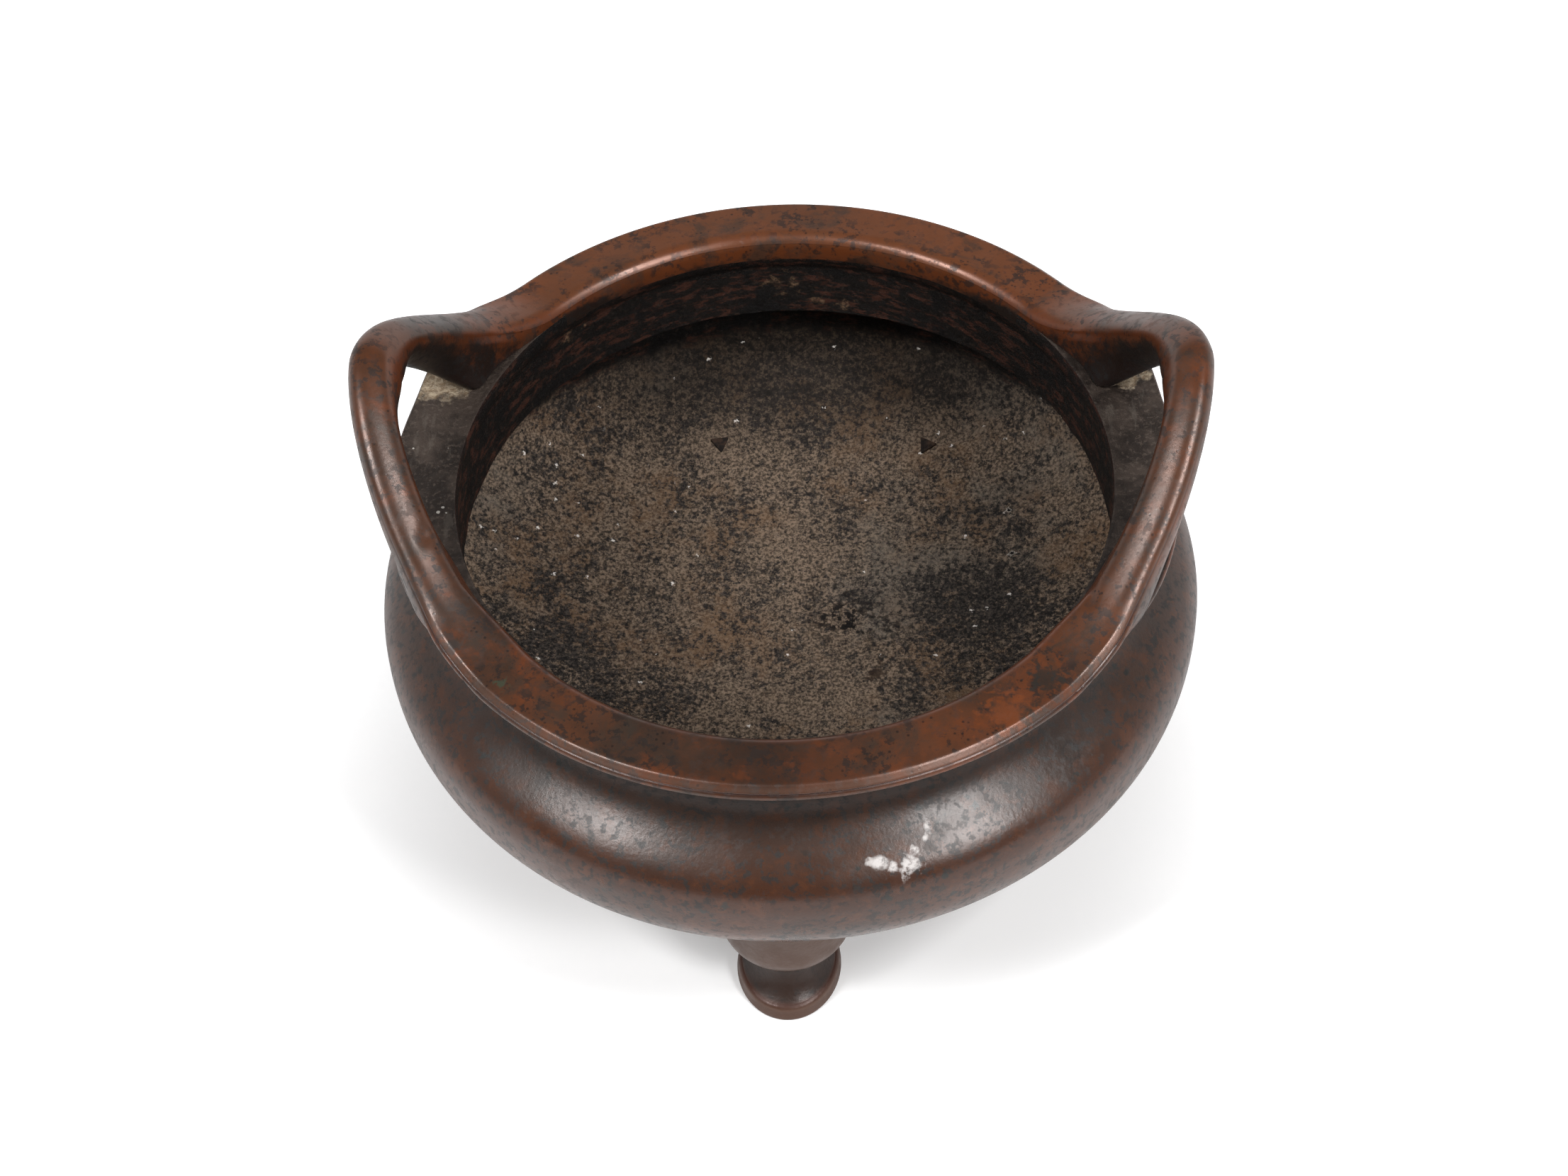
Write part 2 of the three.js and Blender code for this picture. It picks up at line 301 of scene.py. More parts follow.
def turned(points, angle):
    """Points turned round the vessel's axis."""
    cosine, sine = math.cos(angle), math.sin(angle)
    x, y, z = points.T
    return np.stack([x * cosine - y * sine, x * sine + y * cosine, z], axis=1)


def tube_faces(rings, columns):
    """Faces between rings of points that follow each other."""
    faces = []
    for j in range(rings - 1):
        for i in range(columns):
            a, b = j * columns + i, j * columns + (i + 1) % columns
            faces.append((a, b, b + columns, a + columns))
    return faces


def capped_tube(rings, columns):
    """A tube's faces with both ends closed to one point each, which come after the rings."""
    faces = tube_faces(rings, columns)
    base = rings * columns
    last = base - columns
    for i in range(columns):
        k = (i + 1) % columns
        faces.append((base, k, i))
        faces.append((base + 1, last + i, last + k))
    return faces


def value_noise(points, wavelength, seed):
    """Smooth noise from -1 to 1 at points in space, with one value per cell corner."""
    seed_step = 17.31
    axis_factors = np.array([73856093, 19349663, 83492791])
    last_factor = 1274126177
    scaled = points / wavelength + seed * seed_step
    cell = np.floor(scaled).astype(np.int64)
    part = scaled - cell
    part = part**3 * (part * (6 * part - 15) + 10)
    total = np.zeros(len(points))
    for corner in range(8):
        shift = np.array([corner & 1, (corner >> 1) & 1, (corner >> 2) & 1])
        mixed = np.bitwise_xor.reduce((cell + shift) * axis_factors, axis=1)
        mixed = (mixed ^ (mixed >> 13)) * last_factor
        value = ((mixed ^ (mixed >> 16)) & 0xFFFF) / 0x8000 - 1
        total += value * np.prod(np.where(shift == 1, part, 1 - part), axis=1)
    return total


def hand_cast(points):
    """The slow unevenness of a hand-finished casting, the same for all pieces."""
    waves = [cast_height * value_noise(points, cast_wave, seed) for seed in (1, 2, 3)]
    moved = points + np.stack(waves, axis=1)
    moved[:, 2] = np.where(points[:, 2] < knee_height, points[:, 2], moved[:, 2])
    return moved


def make_piece(name, points, faces, material, node, marks=None, sharp=40):
    """A mesh object from points in millimetres. It stands for one solid and rides on the body."""
    mesh = bpy.data.meshes.new(name)
    mesh.from_pydata((points * MM).tolist(), [], faces)
    for mark, values in (marks or {}).items():
        layer = mesh.attributes.new(mark, "FLOAT", "POINT")
        layer.data.foreach_set("value", np.asarray(values, dtype=np.float32))
    mesh.polygons.foreach_set("use_smooth", np.ones(len(mesh.polygons), dtype=bool))
    mesh.set_sharp_from_angle(angle=sharp * DEGREE)
    mesh.validate()
    piece = bpy.data.objects.new(name, mesh)
    bpy.context.collection.objects.link(piece)
    for item in material if isinstance(material, list) else [material]:
        mesh.materials.append(item)
    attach(piece, "root")
    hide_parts(node)
    return piece


def bowl_drop(radius, widest, depth):
    share = np.clip(radius / widest, 0, 1)
    return depth * (1 - share**bowl_power) ** (1 / bowl_power)


def bowl_arc(widest, depth, shares):
    """The bowl's outline at shares of the way from its middle to its widest place."""
    across = widest * np.sin(shares * math.pi / 2) ** (2 / bowl_power)
    return np.stack([across, belly_height - bowl_drop(across, widest, depth)], axis=1)


def bezier(points, count):
    """Points on a Bezier curve of any order, both ends included."""
    t = spaced(count)[:, None]
    level = [np.asarray(p, dtype=float)[None, :] + 0 * t for p in points]
    while len(level) > 1:
        level = [a * (1 - t) + b * t for a, b in zip(level, level[1:])]
    return level[0]


def rounded_corner(before, corner, after, reach, count):
    """A small round in place of a corner."""
    before, corner, after = (np.asarray(p, dtype=float) for p in (before, corner, after))
    start = corner + reach * (before - corner) / np.linalg.norm(before - corner)
    end = corner + reach * (after - corner) / np.linalg.norm(after - corner)
    return bezier([start, corner, end], count)


def cavetto(shares):
    """The hollow curve from the waist out to the lip's underside."""
    angle = math.pi - shares * math.pi / 2
    across = lip_radius + (lip_radius - waist_radius) * np.cos(angle)
    return np.stack([across, waist_height + neck_rise * np.sin(angle)], axis=1)


def bead_outline():
    """The round bead on the lip's edge, from its underside up to the groove."""
    angles = np.linspace(*bead_turns, bead_rows) * DEGREE
    across = lip_radius - bead_radius + bead_proud + bead_radius * np.cos(angles)
    height = sill_height - bead_radius + bead_proud + bead_radius * np.sin(angles)
    return np.stack([across, height], axis=1)


def upper_ring_outline():
    """The ring's upper layer, from the groove over the top face and down to the ring's foot."""
    groove = [lip_radius - groove_depth, sill_height]
    over_groove = [lip_radius - groove_half_width, sill_height + groove_half_width + groove_shoulder]
    chamfer_top = [lip_top_radius, lip_top_height]
    rim = [mouth_radius, rim_height]
    foot = [ring_foot_radius, ring_foot_height]
    bulge = [mouth_radius - 2 * ring_bulge, ring_centre_height]
    roll = bezier([rim, bulge, foot], inner_roll_rows)
    lower_corner = rounded_corner(groove, over_groove, chamfer_top, groove_round, 4)
    upper_corner = rounded_corner(over_groove, chamfer_top, rim, edge_round, 5)
    inner_corner = rounded_corner(chamfer_top, rim, roll[2], mouth_round, 10)
    top = np.linspace(upper_corner[-1], inner_corner[0], top_rows)[1:-1]
    chamfer = np.linspace(lower_corner[-1], upper_corner[0], chamfer_rows)[1:-1]
    rest = roll[roll[:, 1] < inner_corner[-1][1] - row_gap]
    return np.vstack([[groove], lower_corner, chamfer, upper_corner, top, inner_corner, rest])


upper_ring = upper_ring_outline()


def vessel_outline():
    """The outline outside, from the base's middle to the bead, and inside, to the floor's middle."""
    bowl = bowl_arc(belly_radius, bowl_depth, spaced(bowl_rows)[1:])
    bowl[-1] = [belly_radius, belly_height]
    shoulder = bezier(
        [
            [belly_radius, belly_height],
            [belly_radius, belly_height + shoulder_pull],
            [waist_radius, waist_height - shoulder_pull],
            [waist_radius, waist_height],
        ],
        shoulder_rows,
    )[1:]
    neck = cavetto(np.linspace(0, cavetto_end_share, cavetto_rows)[1:])
    throat_end = [throat_radius, throat_height]
    throat = np.linspace([ring_foot_radius, ring_foot_height], throat_end, throat_rows)[1:]
    inner_shoulder = bezier(
        [
            throat_end,
            [throat_radius + throat_flare_out, throat_height - throat_flare_down],
            [inner_belly_radius, belly_height + inner_pull],
            [inner_belly_radius, belly_height],
        ],
        inner_shoulder_rows,
    )[1:]
    inner_bowl = bowl_arc(inner_belly_radius, inner_depth, spaced(inner_bowl_rows)[1:-1][::-1])
    outside = np.vstack([bowl, shoulder, neck, bead_outline()])
    inside = np.vstack([throat, inner_shoulder, inner_bowl])
    return outside, inside


def last_over_sill(ring_rows):
    return int(np.max(np.nonzero(ring_rows[:, 1] > sill_height)))


def sill_strip(ring_rows):
    """The level sill under a handle: one point for each row of the ring's upper layer."""
    last = last_over_sill(ring_rows)
    above, below = ring_rows[last], ring_rows[last + 1]
    inner_edge = above[0] + (above[1] - sill_height) / (above[1] - below[1]) * (below[0] - above[0])
    steps = np.linalg.norm(np.diff(ring_rows[: last + 1], axis=0), axis=1)
    along = np.concatenate([[0], np.cumsum(steps)]) / steps.sum()
    start = ring_rows[0, 0] + sill_start
    ridge = sill_ridge * bell(along - sill_ridge_share, sill_ridge_width_share)
    strip = ring_rows.copy()
    strip[: last + 1, 0] = start + (inner_edge - start) * along
    strip[: last + 1, 1] = sill_height - sill_dip * np.sin(math.pi * along) + ridge
    strip[last] = [inner_edge, sill_height - sill_drop]
    return strip


def sill_spread(angle, rows, first_ring):
    """How far each row of an outline under a handle moves outward at an angle off its axis."""
    off = off_axis(angle)
    rear_share = (math.sin(angle) - rear_from_sine) / (rear_full_sine - rear_from_sine)
    rear = np.clip(rear_share, 0, 1)
    out = spread_most * bell(off - spread_angle, spread_half_angle)
    out += spread_everywhere * (1 - (off / handle_span) ** 2)
    pull = pull_most * bell(off - pull_angle, pull_half_angle)
    pull *= min((handle_span - off) / pull_fade_angle, 1)
    row = np.arange(rows)
    first_cavetto = first_ring - bead_rows - cavetto_rows + 1
    up = np.clip((row - first_cavetto) / (cavetto_rows - 1), 0, 1) ** 2
    across = np.clip(1 - (row - first_ring) / (top_rows * spread_ring_share), 0, 1)
    return (rear * out - (1 - rear) * pull) * np.where(row < first_ring, up, across)


def column_angles():
    """Angles round the vessel. A span end comes twice, once in the ring and once in the sill."""
    columns = []
    for middle in (0.0, math.pi):
        inside = np.linspace(middle - handle_span, middle + handle_span, span_columns + 1)
        columns += [(angle, True) for angle in inside]
        start, end = middle + handle_span, middle + math.pi - handle_span
        columns += [(angle, False) for angle in np.linspace(start, end, wall_columns + 1)]
    return columns


def vessel_points(columns, plain, cut, first_ring):
    """One outline for each column, and the middles of the base and the floor at the end."""
    points = []
    for angle, in_span in columns:
        across, height = (cut if in_span else plain).T
        if in_span:
            across = across + sill_spread(angle, len(plain), first_ring)
        points.append(turned(np.stack([across, 0 * across, height], axis=1), angle))
    return np.vstack([*points, [[0, 0, stand_height], [0, 0, floor_height]]])


def welded(points, rows, count):
    """For each point the one that stands for it, where neighbouring columns meet."""
    same = np.arange(len(points))
    for j in range(count):
        here = np.arange(j * rows, (j + 1) * rows)
        there = (here + rows) % (count * rows)
        joined = np.linalg.norm(points[here] - points[there], axis=1) < weld_gap
        same[there[joined]] = same[here[joined]]
    return same


def vessel_faces(points, columns, first_ring, sill_edge):
    """Faces between neighbouring columns, and each face's material."""
    count = len(columns)
    rows = len(points) // count
    base, top = count * rows, count * rows + 1
    same = welded(points, rows, count)
    ring_zones = np.full(rows, body_zone)
    ring_zones[first_ring - bead_rows - 2 :] = crown_zone
    ring_zones[sill_edge + roll_crown_rows :] = hollow_zone
    sill_zones = ring_zones.copy()
    sill_zones[first_ring:sill_edge] = sill_zone
    sill_zones[sill_edge:] = hollow_zone
    faces, zones = [], []
    for j in range(count):
        k = (j + 1) % count
        zone_of_row = sill_zones if columns[j][1] and columns[k][1] else ring_zones
        for i in range(rows - 1):
            corners = (j * rows + i, k * rows + i, k * rows + i + 1, j * rows + i + 1)
            corners = tuple(dict.fromkeys(int(same[c]) for c in corners))
            if len(corners) > 2:
                faces.append(corners)
                zones.append(int(zone_of_row[i]))
        if same[k * rows] != same[j * rows]:
            faces.append((base, int(same[k * rows]), int(same[j * rows])))
            zones.append(body_zone)
            faces.append((top, int(same[(j + 1) * rows - 1]), int(same[(k + 1) * rows - 1])))
            zones.append(hollow_zone)
    return faces, zones


def vessel_marks(points, in_span, past_top):
    """Weights of the groove, the chamfer's edge, the deep throat, the mouth's rim and the neck. The
    neck weight carries the painted shade under the lip.
    """
    radius, height = np.hypot(points[:, 0], points[:, 1]), points[:, 2]
    off = off_axis(np.arctan2(points[:, 1], points[:, 0]))
    at_lip = radius > lip_top_radius - lip_mark_depth
    chamfer_middle = (sill_height + lip_top_height) / 2
    in_throat = past_top & (radius < mouth_radius + throat_margin) & (height > belly_height)
    # Near the handles' roots the deep weight grows, and with it the darkening, which is partly
    # patina and partly painted shade.
    round_root = bell(np.maximum(off - handle_span, 0), root_mark_angle)
    by_root = round_root * np.clip((sill_height + throat_margin - height) / root_mark_drop, 0, 1)
    down = np.clip((rim_height - height) / ring_depth, 0, 2)
    rim_level = np.where(in_span, sill_height, rim_height)
    from_rim = np.hypot(radius - mouth_radius + rim_mark_inset, height - rim_level)
    sill_fade = np.clip((sill_rim_angle - off) / sill_rim_fade_angle, 0, 1)
    under_lip = np.maximum(lip_under_height - neck_mark_gap - height, 0)
    return {
        "groove": bell(height - sill_height, groove_mark) * at_lip,
        "edge": bell(height - chamfer_middle, edge_mark) * at_lip,
        "deep": (down * (1 + root_mark_share * round_root) + by_root) * in_throat,
        "rim": bell(from_rim, rim_mark)
        * (radius < mouth_radius + rim_mark_end)
        * np.where(in_span, sill_fade, 1),
        # The neck weight marks where shade under the lip is painted.
        "neck": bell(under_lip, neck_mark) * (height < sill_height),
    }


def floor_relief(points, inside):
    """Crust and low waves on the inside of the bowl, smooth round the chaplets."""
    crust = 0
    for index, (wave, height) in enumerate(crust_waves):
        crust = crust + height * value_noise(points, wave, crust_seed + index)
    crust = crust * inside
    for place_radius, azimuth, _ in chaplet_places.values():
        middle = place_radius * np.array([math.cos(azimuth), math.sin(azimuth)])
        near = bell(np.linalg.norm(points[:, :2] - middle, axis=1), chaplet_clear)
        crust = crust * (1 - near) - chaplet_dip * near
    radius = np.hypot(points[:, 0], points[:, 1])
    outward = points[:, :2] / np.maximum(radius, 1e-6)[:, None]
    crust = np.where(inside > 0, crust, 0)
    low = points[:, 2] < belly_height
    moved = points.copy()
    moved[:, 2] += np.where(low, crust, 0)
    moved[:, :2] += np.where(low, 0, crust)[:, None] * outward
    return moved


def vessel_piece(material_list):
    outside, inside = vessel_outline()
    plain = np.vstack([outside, upper_ring, inside])
    cut = np.vstack([outside, sill_strip(upper_ring), inside])
    columns = column_angles()
    rows, first_ring = len(plain), len(outside)
    first_inside = first_ring + len(upper_ring)
    points = vessel_points(columns, plain, cut, first_ring)
    sill_edge = first_ring + last_over_sill(upper_ring)
    faces, zones = vessel_faces(points, columns, first_ring, sill_edge)
    row = np.append(np.tile(np.arange(rows), len(columns)), [0, rows - 1])
    in_span = np.append(np.repeat([in_span for _, in_span in columns], rows), [False, False])
    marks = vessel_marks(points, in_span, row > first_ring + first_throat_row)
    moved = floor_relief(points, np.clip((row - first_inside) / crust_fade_rows, 0, 1))
    piece = make_piece(
        "vessel_body", hand_cast(moved), faces, material_list, "vessel", marks
    )
    piece.data.polygons.foreach_set("material_index", zones)


def blended_max(a, b, blend):
    near = max(blend - abs(a - b), 0) / blend
    return max(a, b) + near * near * blend / 4


def handle_centre(angle):
    along = abs(angle) * ring_centre_radius
    arch = handle_rise * (1 - (along / handle_half_width) ** arch_power)
    rise = blended_max(0, arch, arch_foot_blend)
    radius = ring_centre_radius + handle_lean * (rise / handle_rise) ** lean_power
    return np.array([radius * math.cos(angle), radius * math.sin(angle), ring_centre_height + rise])


def bar_points(angles, top_share):
    """The bar's section: a low crown above, a deep keel below, and a fine groove outside."""
    across, up = np.cos(angles), np.sin(angles)
    half_width = (bar_width + (bar_top_width - bar_width) * top_share) / 2
    keel = bar_keel + (bar_top_keel - bar_keel) * top_share
    depth = np.where(up >= 0, bar_crown, keel)
    boxy = 1 - smooth_step(top_share, *root_keel_shares)
    inner_power = keel_power + (root_keel_power - keel_power) * boxy
    under_power = np.where(across < 0, inner_power, keel_power)
    power = 2 / np.where(up >= 0, crown_power, under_power)
    points = np.stack(
        [
            half_width * np.sign(across) * np.abs(across) ** power,
            depth * np.sign(up) * np.abs(up) ** power,
        ],
        axis=1,
    )
    push = web_push * bell(1 - top_share, web_share)
    toward = np.maximum(0, np.cos(angles - web_angle)) ** 2
    points += push * toward[:, None] * np.array([math.cos(web_angle), math.sin(web_angle)])
    groove = bell(wrapped(angles - bar_groove_angle), bar_groove_half_angle)
    cut = bar_groove_depth * (1 - top_share) * groove
    return points * (1 - cut / np.linalg.norm(points, axis=1))[:, None]


def root_outline():
    """The whole ring's section as a closed loop, with the visible rows as in the vessel."""
    under = cavetto(np.linspace(root_start_share, cavetto_end_share, root_under_rows))
    base = np.linspace(upper_ring[-1], under[0], root_base_rows)[1:-1]
    return np.vstack([upper_ring, base, under, bead_outline()])


def cut_level(loop, height):
    """The part of a closed loop under a level is laid along that level."""
    low = loop[:, 2] < height
    if not low.any() or low.all():
        return loop
    count = len(loop)
    first = next(i for i in range(count) if low[i] and not low[i - 1])
    run = []
    while low[(first + len(run)) % count]:
        run.append((first + len(run)) % count)

    def crossing(inside, outside):
        a, b = loop[inside], loop[outside]
        share = (height - b[2]) / (a[2] - b[2])
        return b + share * (a - b)

    start = crossing(run[0], run[0] - 1)
    end = crossing(run[-1], (run[-1] + 1) % count)
    flat_loop = loop.copy()
    for place, i in enumerate(run):
        flat_loop[i] = start + (end - start) * (place / max(len(run) - 1, 1))
    return flat_loop


def flank(angles, rise):
    """How far the lower outer side of a handle's root stays out, flush with the lip."""
    size = flank_push * smooth_hill(rise, *flank_rises)
    return size * np.maximum(np.cos(angles - flank_angle), 0) ** 2


def buttress(angles, rise):
    """How far the lower inner side of a handle's root swells inward, flush with the ring."""
    inward = np.mod(angles, TURN)
    size = buttress_push * smooth_hill(rise, *buttress_rises)
    size = size * smooth_step(inward, *buttress_start_angles)
    return size * (1 - smooth_step(inward, *buttress_end_angles))


def handle_loop(angle, root, root_angles, sweep):
    """The section at an angle off the handle's axis, and its share of the handle's rise."""
    middle = handle_centre(angle)
    nudge = section_nudge / ring_centre_radius
    along = handle_centre(angle + nudge) - handle_centre(angle - nudge)
    along /= np.linalg.norm(along)
    out = np.array([math.cos(angle), math.sin(angle), 0.0])
    out -= along * out.dot(along)
    out /= np.linalg.norm(out)
    up = np.cross(out, along)
    rise = middle[2] - ring_centre_height
    top_share = rise / handle_rise
    bar_share = smooth_step(rise, 0, bar_morph_rise)
    section = root + (bar_points(root_angles, top_share) - root) * bar_share
    section[:, 0] += flank(root_angles, rise) - buttress(root_angles, rise)
    tilt = bar_tilt * top_share**tilt_power
    cosine, sine = math.cos(tilt), math.sin(tilt)
    x = section[:, 0] * cosine - section[:, 1] * sine
    y = section[:, 0] * sine + section[:, 1] * cosine
    loop = middle + x[:, None] * out + y[:, None] * up
    return cut_level(turned(loop, sweep * top_share), sill_height), top_share


def handle_marks(angles, tops):
    """Weights of the bar's groove, the edge over it, the deep inner side and the rim's line."""
    from_groove = wrapped(angles - bar_groove_angle - bar_groove_shift)
    fade = np.clip(bar_mark_end_share - tops, 0, 1)
    inward = np.mod(angles, TURN)
    depth = (inward - rim_turn) / (ring_foot_turn - rim_turn)
    rim = bell(inward - rim_turn - bar_rim_shift, bar_edge_mark)
    return {
        "groove": bell(from_groove, bar_groove_mark) * fade,
        "edge": bell(from_groove - bar_edge_shift, bar_edge_mark) * fade,
        "deep": np.clip(bar_deep_share * depth, 0, bar_deep_share) * (inward < bar_deep_end),
        "rim": rim * (1 - bar_rim_fade_share * tops),
    }


def handle_piece(name, side, material):
    """A handle. The side is 1 on the right, and -1 for the left one, half a turn further on."""
    root = root_outline() - [ring_centre_radius, ring_centre_height]
    root_angles = np.arctan2(root[:, 1], root[:, 0])
    count = len(root)
    loops, tops = [], []
    for share in np.linspace(-1, 1, handle_sections + 1):
        loop, top_share = handle_loop(handle_span * share, root, root_angles, side * handle_sweep)
        loops.append(loop)
        tops.append(top_share)
    points = np.vstack(loops) * [side, side, 1]
    faces = [(a, d, c, b) for a, b, c, d in tube_faces(len(loops), count)]
    faces.append(tuple(range(count)))
    faces.append(tuple(range(len(points) - count, len(points)))[::-1])
    marks = handle_marks(np.tile(root_angles, len(loops)), np.repeat(tops, count))
    away = (points - np.array(handle_dents[name])) * dent_stretch
    points[:, 2] -= dent_depth * bell(np.linalg.norm(away, axis=1), dent_width)
    make_piece(f"{name}_bar", hand_cast(points), faces, material, name, marks)


def foot_outline():
    """A foot's outline: the sole, the band, the crease over it, the hoof and the calf."""
    band_top = [hoof_half_width - band_batter, band_height]
    crease = [band_top[0] - band_crease, band_height + crease_rise]
    under_ankle = [ankle_half_width + ankle_ease, band_height + ankle_flare]
    ankle = [ankle_half_width, ankle_height]
    over_ankle = [ankle_half_width, ankle_height + knee_pull]
    under_knee = [knee_half_width, knee_height - knee_pull]
    knee = [knee_half_width, knee_height]
    sole = rounded_corner([0, 0], [sole_half_width, 0], band_top, sole_round, 6)
    corner = rounded_corner(sole[-1], band_top, crease, band_round, 7)
    band = np.linspace(sole[-1], corner[0], 6)[1:-1]
    hoof = bezier([crease, under_ankle, ankle], hoof_rows)
    calf = bezier([ankle, over_ankle, under_knee, knee], calf_rows)
    return np.vstack([sole, band, corner, hoof, calf[1:]])


def under_bowl(ring):
    """The height just inside the bowl's underside over each point."""
    radius = np.minimum(np.hypot(ring[:, 0], ring[:, 1]), belly_radius - bowl_edge_gap)
    return belly_height - bowl_drop(radius, belly_radius, bowl_depth) + foot_bury


def foot_rings():
    """Rings of a foot on the +X side: its outline, the rise into the bowl and the closed top."""
    angles = np.linspace(0, TURN, foot_columns, endpoint=False)
    circle = np.stack([np.cos(angles), np.sin(angles), 0 * angles], axis=1)
    middle = np.array([foot_circle_radius, 0.0, 0.0])
    rings = []
    for radius, height in foot_outline():
        stretch = hoof_half_length / hoof_half_width
        knee_stretch = knee_half_length / knee_half_width
        stretch += (knee_stretch - stretch) * smooth_step(height, band_height, knee_height)
        rings.append(middle + circle * [radius * stretch, radius, 0] + [0, 0, height])
    knee = rings[-1]
    for share in np.arange(1, rise_rows + 1) / rise_rows:
        ring = middle + (knee - middle) * (1 + knee_flare_share * share**knee_flare_power)
        ring[:, 2] = knee_height + (under_bowl(ring) - knee_height) * share
        rings.append(ring)
    edge = rings[-1]
    for share in 1 - np.arange(1, cap_rows) / cap_rows:
        ring = middle + (edge - middle) * share
        ring[:, 2] = under_bowl(ring)
        rings.append(ring)
    return rings


def foot_piece(name, azimuth, material):
    rings = foot_rings()
    sole = np.array([[foot_circle_radius, 0.0, 0.0]])
    crown = np.array([[foot_circle_radius, 0.0, under_bowl(sole)[0]]])
    points = turned(np.vstack([*rings, sole, crown]), azimuth)
    over_band = points[:, 2] - band_height
    marks = {
        "groove": bell(over_band - hoof_groove_rise, hoof_groove_mark),
        "edge": bell(over_band + hoof_edge_drop, hoof_edge_mark),
    }
    faces = capped_tube(len(rings), foot_columns)
    make_piece(f"{name}_leg", hand_cast(points), faces, material, name, marks, 30)


def chaplet_outline(turn):
    """A triangle with rounded corners."""
    corners = []
    for i in range(3):
        angle = turn - math.pi / 2 + i * TURN / 3
        corners.append(np.array([math.cos(angle), math.sin(angle)]) * chaplet_radius)
    rounds = []
    for i in range(3):
        after = corners[(i + 1) % 3]
        rounds.append(rounded_corner(corners[i - 1], corners[i], after, chaplet_round, 5))
    return np.vstack(rounds)


def chaplet_piece(name, place, material):
    """A three-sided spacer through the wall: a worn top with softened edges."""
    radius, azimuth, turn = place
    step = 0.01
    drop = bowl_drop(radius, inner_belly_radius, inner_depth)
    slope = (drop - bowl_drop(radius + step, inner_belly_radius, inner_depth)) / step
    cosine, sine = math.cos(azimuth), math.sin(azimuth)
    spin = Vector((0, 0, 1)).rotation_difference(Vector((-slope * cosine, -slope * sine, 1)))
    face = Vector((radius * cosine, radius * sine, belly_height - drop))
    outline = chaplet_outline(azimuth + turn)
    local = []
    for height, share in chaplet_level_shares:
        local += [(x, y, height) for x, y in outline * share]
    local += [(0, 0, chaplet_level_shares[0][0]), (0, 0, chaplet_level_shares[-1][0])]
    points = np.array([list(face + spin @ Vector(place)) for place in local])
    faces = capped_tube(len(chaplet_level_shares), len(outline))
    make_piece(f"{name}_peg", hand_cast(points), faces, material, name)


def tone(red, green, blue):
    """A screen tone, 0 to 255, as a linear colour."""
    linear = []
    for value in (red, green, blue):
        share = value / 255
        linear.append(share / 12.92 if share <= 0.04045 else ((share + 0.055) / 1.055) ** 2.4)
    return tuple(linear)


